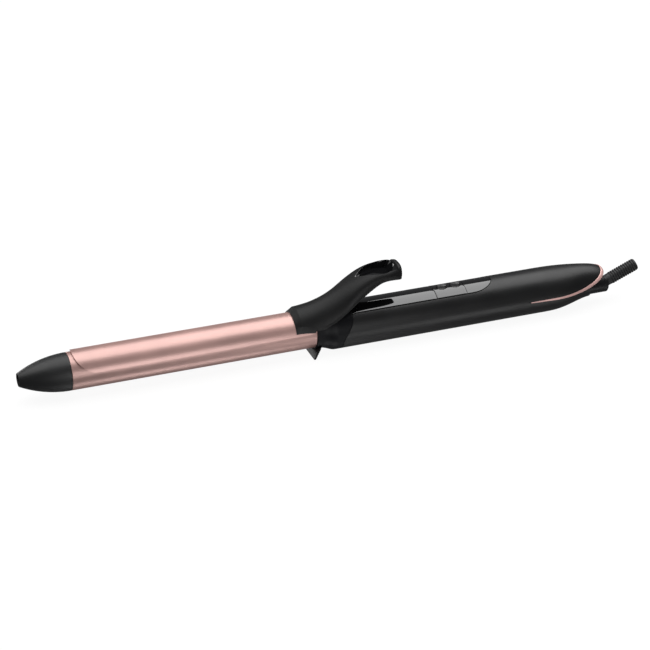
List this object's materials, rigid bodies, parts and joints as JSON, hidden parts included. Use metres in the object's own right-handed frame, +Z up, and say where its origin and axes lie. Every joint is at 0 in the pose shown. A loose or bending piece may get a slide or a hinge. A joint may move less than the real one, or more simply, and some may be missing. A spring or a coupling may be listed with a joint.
{
  "type": "curling iron",
  "caption": "Spring-clip curling iron: heated barrel, sprung clamp with thumb lever, rest foot, buttons, and swivel cord boot.",
  "frame": {"origin": "on the table under the middle of the whole length, between foot and handle", "axes": "+X along the barrel axis from the nose towards the cord end, +Z up out of the button side, +Y across"},
  "size_m": [0.421, 0.0296, 0.0531],
  "materials": {
    "barrel_rose_gold": "satin",
    "clamp_rose_gold": "satin",
    "trim_rose_gold": "polished",
    "nose_black": "matte",
    "handle_black": "matte",
    "lever_black": "satin",
    "collar_black": "satin",
    "gloss_black": "gloss",
    "button_black": "satin",
    "cap_black": "satin",
    "boot_rubber": "matte",
    "steel": "satin",
    "spreader_aluminium": "satin",
    "heater_ceramic": "matte",
    "contact_brass": "satin",
    "film_amber": "satin",
    "insulator_mica": "matte",
    "resin_white": "matte",
    "holder_black": "matte",
    "board_green": "satin",
    "component_black": "satin",
    "component_red": "satin",
    "choke_copper": "satin",
    "led_clear": "gloss",
    "wire_white": "satin",
    "wire_brown": "satin"
  },
  "bodies": {
    "handle": {"cool_tip": "nose_black", "tip_screw": "steel", "tip_anchor": "steel", "tip_insulator": "insulator_mica", "barrel_tube": "barrel_rose_gold", "heat_spreader_upper": "spreader_aluminium", "heat_spreader_lower": "spreader_aluminium", "heater_wafers": "heater_ceramic", "heater_electrodes": "contact_brass", "insulating_films": "film_amber", "thermal_fuse": "resin_white", "temperature_sensor": "resin_white", "heater_leads": "wire_white", "barrel_holder": "holder_black", "holder_screws": "steel", "front_collar": "collar_black", "hinge_saddle": "steel", "hinge_pin": "steel", "torsion_spring": "steel", "handle_upper_shell": "handle_black", "handle_lower_shell": "handle_black", "panel_front": "gloss_black", "panel_control": "gloss_black", "panel_rear": "gloss_black", "trim_band": "trim_rose_gold", "circuit_board": "board_green", "tact_switches": "component_black", "indicator_lights": "led_clear", "controller_chip": "component_black", "triac": "component_black", "capacitor": "component_red", "choke": "choke_copper", "board_screws": "steel", "shell_screws": "steel", "supply_leads": "wire_brown", "contact_brushes": "contact_brass", "swivel_bushing": "resin_white"},
    "clamp": {"clamp_blade": "clamp_rose_gold", "clamp_lever": "lever_black", "thumb_inlay": "gloss_black", "lever_bracket": "steel", "lever_rivets": "steel"},
    "front_button": {"button_front": "button_black"},
    "rear_button": {"button_rear": "button_black"},
    "swivel": {"swivel_core": "resin_white", "slip_rings": "contact_brass", "swivel_cap": "cap_black", "boot_hinge_pin": "steel"},
    "boot": {"cord_boot": "boot_rubber"}
  },
  "joints": [
    {"name": "clamp_hinge", "type": "hinge", "parent": "handle", "child": "clamp", "pos_m": [-0.00751, 0, 0.03025], "axis": [0, 1, 0], "range_deg": [0, 14], "stiffness_Nm_per_rad": 0.8, "springref_deg": -11.46, "deforming": ["torsion_spring"]},
    {"name": "front_button_press", "type": "slide", "parent": "handle", "child": "front_button", "axis": [0, 0, -1], "range_m": [0, 0.0006], "stiffness_N_per_m": 300, "springref_m": -0.0008},
    {"name": "rear_button_press", "type": "slide", "parent": "handle", "child": "rear_button", "axis": [0, 0, -1], "range_m": [0, 0.0006], "stiffness_N_per_m": 300, "springref_m": -0.0008},
    {"name": "cord_swivel", "type": "hinge", "parent": "handle", "child": "swivel", "pos_m": [0.17949, 0, 0.01215], "axis": [1, 0, 0], "continuous": true},
    {"name": "boot_tilt", "type": "hinge", "parent": "swivel", "child": "boot", "pos_m": [0.18569, 0, 0.01215], "axis": [0, 1, 0], "range_deg": [-7.5, 52.5]}
  ]
}
